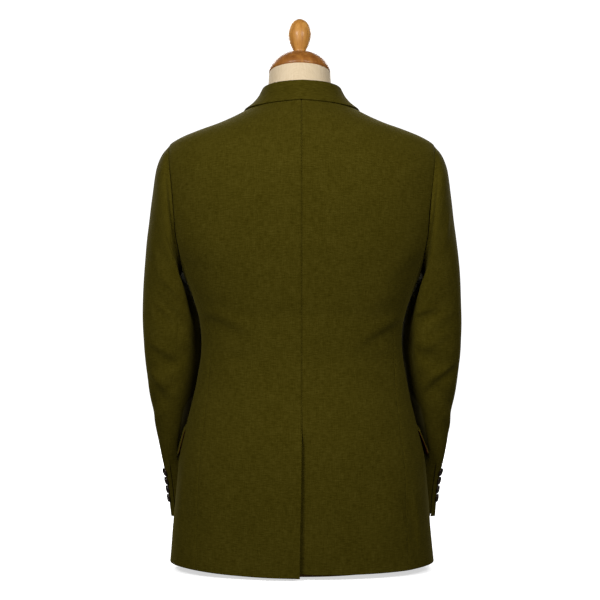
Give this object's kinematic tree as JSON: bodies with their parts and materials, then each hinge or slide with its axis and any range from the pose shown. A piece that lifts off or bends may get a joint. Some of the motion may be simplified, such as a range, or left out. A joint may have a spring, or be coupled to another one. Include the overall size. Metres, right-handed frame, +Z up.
{
  "type": "moleskin jacket on a limbless dress form",
  "caption": "Single-breasted jacket with notched lapels, slanted flap pockets and a centre back vent, worn by a limbless dress form with a turned wooden neck knob.",
  "frame": {"origin": "on the floor, under the middle of the form's base board, at the bottom centre of the part's box in height", "axes": "+Z up, +Y out of the jacket's back, +X towards the wearer's left"},
  "size_m": [0.5386, 0.2975, 0.9268],
  "materials": {
    "moleskin": "olive green cotton moleskin with a short dull nap",
    "horn": "dark brown polished horn-look button",
    "linen": "pale ecru linen, stretched smooth",
    "wood": "golden brown varnished wood"
  },
  "bodies": {
    "root": {"back_left": "moleskin", "side_left": "moleskin", "front_left": "moleskin", "lapel_left": "moleskin", "pocket_flap_left": "moleskin", "top_sleeve_left": "moleskin", "under_sleeve_left": "moleskin", "back_right": "moleskin", "side_right": "moleskin", "front_right": "moleskin", "lapel_right": "moleskin", "pocket_flap_right": "moleskin", "top_sleeve_right": "moleskin", "under_sleeve_right": "moleskin", "collar": "moleskin", "collar_stand": "moleskin", "front_button_1": "horn", "front_button_2": "horn", "cuff_button_left_1": "horn", "cuff_button_left_2": "horn", "cuff_button_left_3": "horn", "cuff_button_left_4": "horn", "cuff_button_right_1": "horn", "cuff_button_right_2": "horn", "cuff_button_right_3": "horn", "cuff_button_right_4": "horn", "form_torso": "linen", "form_base": "wood", "neck_cap": "wood", "neck_knob": "wood"}
  },
  "joints": []
}
